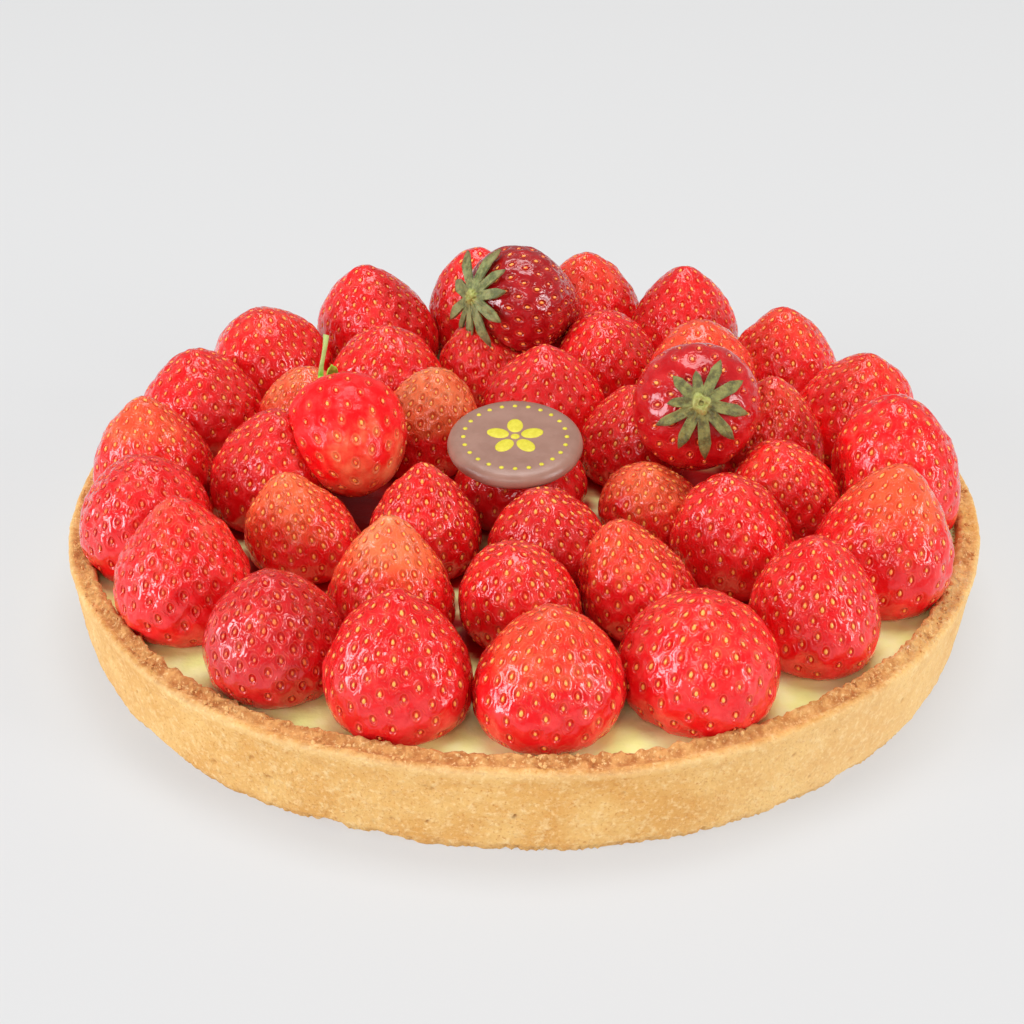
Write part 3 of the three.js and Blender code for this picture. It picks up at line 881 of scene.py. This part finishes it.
def make_crust(paint):
    def step(start, end):
        return 0.7 if min(start[0], end[0]) > 113 and max(start[1], end[1]) > 0.5 else 14

    bm = spin_outline(outline_points(CRUST_CORNERS, step), 1080)
    layers = new_layers(bm, "baked_and_shade", "glaze", "pale", "hole")
    holes = draw_holes()
    for vert in bm.verts:
        radius, z = math.hypot(vert.co.x, vert.co.y), vert.co.z
        if radius < FLAT_RADIUS:
            continue
        angle = math.atan2(vert.co.y, vert.co.x)
        x, y = RIM_RADIUS * math.cos(angle), RIM_RADIUS * math.sin(angle)
        slope = smoothstep(z, RIM_HEIGHT - 1.4, RIM_HEIGHT)
        slope *= smoothstep(radius, INNER_RADIUS - 1, INNER_RADIUS + 0.5)
        inner = slope * (1 - smoothstep(radius, INNER_RADIUS + 1.5, RIM_RADIUS - 1.8))
        wall = smoothstep(radius, BASE_RADIUS - 1.5, BASE_RADIUS)
        relief = 0.25 * rough_noise(x, y, z, 12, 0) + 0.2 * rough_noise(x, y, z * 1.4, 3.6, 5)
        relief += 0.14 * rough_noise(x, y, z, 1.4, 9)
        crumb = 0.45 * rough_noise(x, y, radius * 3, 4, 3)
        crumb += 0.8 * rough_noise(x, y, radius * 2.5, 1.5, 8)

        new_radius, new_z = press_by_hand(radius, z, angle)
        new_radius += wall * (relief - 0.25)
        new_z += (0.1 * slope + inner) * crumb - 0.2 * inner
        new_radius += inner * 1.1 * rough_noise(x, y, 0, 2.1, 4)
        # How much painted shade darkens the wall in an air hole.
        shade = 0
        for turn, height, size, stretch in holes.get(sector_of(angle), []):
            aside = turn_apart(angle, turn) * RIM_RADIUS / stretch
            away = math.hypot(aside, (z - height) * 1.3) / size
            if away < 3 and radius > BASE_RADIUS - 1:
                new_radius -= 1.3 * size * bell(away, 0.75)
                shade = max(shade, bell(away, 0.7))
        foot = wall * (1 - smoothstep(z, 0, 3))
        if foot > 0:
            lost = broken_edge(angle, x, y)
            new_z += lost * foot
            new_radius -= 0.7 * foot * lost
        vert.co.x = new_radius * math.cos(angle)
        vert.co.y = new_radius * math.sin(angle)
        vert.co.z = max(0, new_z)
        vert[layers["hole"]] = 0.75 * shade
        for name, tone in crust_tones(radius, z, angle, slope, wall).items():
            vert[layers[name]] = tone
    set_on_ground(bm)
    put_on(finish_piece(bm, "case", [paint]), "crust", "crust")


def draw_crumb():
    """A broken bit of pastry, about 1 across."""
    bm = bmesh.new()
    bmesh.ops.create_icosphere(bm, subdivisions=1, radius=0.5)
    for vert in bm.verts:
        vert.co *= rng.uniform(0.65, 1.25)
    crumb = bpy.data.meshes.new("crumb")
    bm.to_mesh(crumb)
    bm.free()
    return crumb


def scatter_crumbs(paint):
    """Crumbs along the crest of the rim and where it meets the cream."""
    shapes = [draw_crumb() for _ in range(6)]
    bm = bmesh.new()
    for _ in range(CRUMBS):
        angle = rng.uniform(0, FULL_TURN)
        crowd = rough_noise(40 * math.cos(angle), 40 * math.sin(angle), 0, 5, 3)
        if crowd + rng.uniform(-0.35, 0.45) < 0:
            continue
        radius = INNER_RADIUS + rng.choice((rng.uniform(-1.0, 0.6), rng.uniform(-0.4, 4.5)))
        rise = smoothstep(radius, INNER_RADIUS - 0.8, INNER_RADIUS + 0.9)
        rise -= 0.25 * smoothstep(radius, INNER_RADIUS + 1.5, RIM_RADIUS)
        radius, height = press_by_hand(radius, CREAM_TOP + 0.4 + 3.7 * rise, angle)
        size = rng.choice((0.35, 0.45, 0.6, 1.0)) * rng.uniform(0.8, 1.2)
        spot = Vector((radius * math.cos(angle), radius * math.sin(angle), height))
        turn = Matrix.Rotation(rng.uniform(0, 6), 4, (rng.uniform(-1, 1), rng.uniform(-1, 1), 1))
        place = Matrix.Translation(CENTRE + spot * MM) @ turn @ Matrix.Scale(size * MM, 4)
        crumb = rng.choice(shapes)
        crumb.transform(place)
        bm.from_mesh(crumb)
        crumb.transform(place.inverted())
    put_on(finish_piece(bm, "crumbs", [paint], smooth=False), "crust")


def berry_circles():
    """Where strawberries stand on the cream and where whole ones lie above it: (x, y, radius)."""
    feet, whole_rounds = [], []
    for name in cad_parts:
        if name.startswith("berry"):
            low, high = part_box(name)
            middle = (low + high) / 2 - CENTRE
            radius = (high.x - low.x + high.y - low.y) / 4 / MM
            (whole_rounds if is_whole(name) else feet).append((middle.x / MM, middle.y / MM, radius))
    return feet, whole_rounds


def gap_to(circles, x, y):
    return min(math.hypot(x - mid_x, y - mid_y) - radius for mid_x, mid_y, radius in circles)


def make_cream(paint):
    def step(start, end):
        return 2 if start[1] > 20 else 30

    feet, whole_rounds = berry_circles()
    bm = spin_outline(outline_points(CREAM_CORNERS, step), 432)
    juice_and_shade = bm.verts.layers.float.new("juice_and_shade")
    for vert in bm.verts:
        x, y, z = vert.co
        radius = math.hypot(x, y)
        angle = math.atan2(y, x)
        # Dark red round the feet is juice stain and also painted shade in the gaps between
        # strawberries; under the whole ones it is painted shadow.
        by_feet = smoothstep(gap_to(feet, x, y) + 2.5 * rough_noise(x, y, 0, 4, 3), -0.5, 4.2)
        from_whole = smoothstep(gap_to(whole_rounds, x, y), 2, 9)
        by_rim = smoothstep(radius + 4 * rough_noise(x, y, 0, 6, 1), 88, 95)
        vert[juice_and_shade] = max(1 - 0.85 * by_feet, 1 - from_whole) * (1 - by_rim)
        new_radius, _ = press_by_hand(radius, z, angle)
        if z > CREAM_TOP - 2:
            z += 0.25 * rough_noise(x, y, 0, 14, 2) + 0.12 * rough_noise(x, y, 0, 5, 4)
        vert.co = (new_radius * math.cos(angle), new_radius * math.sin(angle), z)
    set_on_ground(bm)
    put_on(finish_piece(bm, "filling", [paint]), "cream", "cream")


# ---------------------------------------------------------------- leaves

STALK_START = 1.6  # above the crown, where the stalk begins to show
STALK_LENGTH = 8.1
BLADE = Vector((-0.09, 0.7, -0.71))  # from the tip of the left leaf that shows to its root


def make_cut_stalk(side, crown, stalk, size, paint):
    """The stub that the leaves spread from, with its hollow cut end."""
    corners = [
        (0, -0.8),
        (0.5, -0.7),
        (0.65, 0.15),
        (1.0, 0.4),
        (1.7, 0.3),
        (2.3, -0.2),
        (2.7, -1.2),
        (2.2, -1.6),
        (0, -1.6),
    ]
    bm = spin_outline(outline_points(corners, lambda start, end: 0.3), 24)
    out = bm.verts.layers.float.new("out")
    for vert in bm.verts:
        x, y, z = vert.co
        vert[out] = math.hypot(x, y)
        swell = 1 + 0.35 * rough_noise(x, y, 0, 2.2, 5)
        z += 0.6 * rough_noise(x, y, 0, 1.1, 2) * min(1, vert[out])
        vert.co = (x * swell, y * swell * 0.92, z)
    turn = stalk.to_track_quat("Z", "X").to_matrix().to_4x4()
    place = Matrix.Translation(crown) @ turn @ Matrix.Scale(size * MM, 4)
    bmesh.ops.transform(bm, matrix=place, verts=bm.verts)
    put_on(finish_piece(bm, "calyx_" + side + "_stub", [paint]), "leaf")


def along_stalk(co, crown, stalk):
    """How far a point is from the line of the stalk, and how far up it."""
    from_crown = co - crown
    rise = from_crown.dot(stalk)
    return (from_crown - stalk * rise).length / MM, rise / MM


def shape_left(bm, crown, stalk):
    """Narrows the leaf that shows to its tip, and sets the stalk straighter and thinner."""
    rises = [along_stalk(vert.co, crown, stalk)[1] for vert in bm.verts]
    leaves = [vert.co for vert, rise in zip(bm.verts, rises) if rise < 2.2]
    tip = max(leaves, key=lambda co: co.z).copy()
    bm.normal_update()
    for vert, rise in zip(bm.verts, rises):
        away = vert.co - tip
        if away.length < 6.5 * MM and rise < 2.2:
            along = away.dot(BLADE)
            across = away - BLADE * along
            vert.co = tip + BLADE * along + across * min(1, 0.2 + max(0, along) / (8 * MM))
        on_stalk = smoothstep(rise, -0.3, 1.2)
        up = max(0, rise - STALK_START) / STALK_LENGTH
        vert.co -= vert.normal * (0.15 * MM * on_stalk)
        vert.co.x += on_stalk * (6.4 * up - 1.5) * (1 - up) * MM


def make_calyx(side, paint, stub_paint=None, stub_size=1):
    node = "calyx_" + side
    bm = merged_copy(node)
    low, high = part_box("berry_whole_" + side)
    stalk, reach = STALKS[side]
    crown = (low + high) / 2 + stalk * (reach * MM)
    if stub_paint:
        crown = max((vert.co for vert in bm.verts), key=stalk.dot).copy()
        make_cut_stalk(side, crown, stalk, stub_size, stub_paint)

    def in_leaves(edge):
        return all(along_stalk(vert.co, crown, stalk)[1] < 2.5 for vert in edge.verts)

    leafy = [edge for edge in bm.edges if in_leaves(edge)]
    bmesh.ops.subdivide_edges(bm, edges=leafy, cuts=2, use_grid_fill=True, smooth=0.2)
    if side == "left":
        shape_left(bm, crown, stalk)
    layers = new_layers(bm, "out", "stem")
    for vert in bm.verts:
        out, rise = along_stalk(vert.co, crown, stalk)
        vert[layers["out"]] = out
        vert[layers["stem"]] = smoothstep(rise, 2.2, 3.2)
    put_on(finish_piece(bm, node + "_leaves", [paint]), "leaf", node)


# ---------------------------------------------------------------- chocolate disc

DISC_MIDDLE = (-1.8, -12, 43)
DISC_TILT = 9  # degrees
DISC_TOP = 5.2
DOTS, DOT_RING = 24, 13.3
PETALS, PETAL_RING = 5, 4.6


def disc_place(x, y, z):
    tilt = Matrix.Rotation(math.radians(DISC_TILT), 4, "X")
    bed = Matrix.Translation(CENTRE) @ Matrix.Scale(MM, 4) @ Matrix.Translation(DISC_MIDDLE)
    return bed @ tilt @ Matrix.Translation((x, y, z))


def make_disc(chocolate, butter):
    corners = [
        (0, 0),
        (14, 0),
        (16.3, 0.9),
        (17.2, 1.9),
        (17.5, 2.8),
        (17.2, 3.8),
        (16.3, 4.6),
        (15, 5.0),
        (13, 5.12),
        (0, DISC_TOP),
    ]
    bm = spin_outline(outline_points(corners, lambda start, end: 2), 96)
    bmesh.ops.transform(bm, matrix=disc_place(0, 0, 0), verts=bm.verts)
    put_on(finish_piece(bm, "disc_body", [chocolate]), "chocolate", "disc")

    motif = bmesh.new()
    for i in range(DOTS):
        angle = FULL_TURN * i / DOTS
        x, y = DOT_RING * math.cos(angle), DOT_RING * math.sin(angle)
        dot = disc_place(x, y, DISC_TOP - 0.08) @ Matrix.Diagonal((0.62, 0.62, 0.2, 1))
        bmesh.ops.create_uvsphere(motif, u_segments=12, v_segments=6, radius=1, matrix=dot)
    middle = disc_place(0, 0, DISC_TOP - 0.05)
    for i in range(PETALS):
        turn = Matrix.Rotation(FULL_TURN * i / PETALS + math.pi / 2, 4, "Z")
        shape = Matrix.Translation((PETAL_RING, 0, 0)) @ Matrix.Diagonal((3.0, 2.1, 0.2, 1))
        petal = middle @ turn @ shape
        bmesh.ops.create_uvsphere(motif, u_segments=24, v_segments=8, radius=1, matrix=petal)
    heart = middle @ Matrix.Diagonal((1.2, 1.2, 0.25, 1))
    bmesh.ops.create_uvsphere(motif, u_segments=16, v_segments=8, radius=1, matrix=heart)
    put_on(finish_piece(motif, "disc_print", [butter]), "chocolate")


# ---------------------------------------------------------------- the tart

make_camera()
make_studio()
make_crust(crust_paint())
scatter_crumbs(crumb_paint())
make_cream(cream_paint())
skin_finish = strawberry_skin()
seed_finishes = {
    False: seed_paint("golden seeds", (255, 180, 84), (236, 60, 28)),
    True: seed_paint("red seeds", (244, 120, 60), (212, 26, 18)),
}
one_seed = draw_seed()
for node_name in sorted(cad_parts):
    if node_name.startswith("berry"):
        make_berry(node_name, skin_finish, seed_finishes, one_seed)
# The fresh leaf's own green is lightened further as painted light, for a tip that faces away from
# the lamps.
fresh_leaf = leaf_paint("fresh leaf", (136, 208, 48), (174, 234, 84), (176, 200, 92), 0)
make_calyx("left", fresh_leaf)
cut_finish = cut_stalk_paint()
green_leaf = leaf_paint("green leaf", (100, 108, 62), (150, 156, 100), (180, 180, 96), 0.5)
make_calyx("back", green_leaf, cut_finish, 0.7)
dry_leaf = leaf_paint("dry leaf", (90, 88, 46), (140, 140, 76), (172, 164, 88), 0.6)
make_calyx("right", dry_leaf, cut_finish)
make_disc(chocolate_paint(), cocoa_butter_paint())
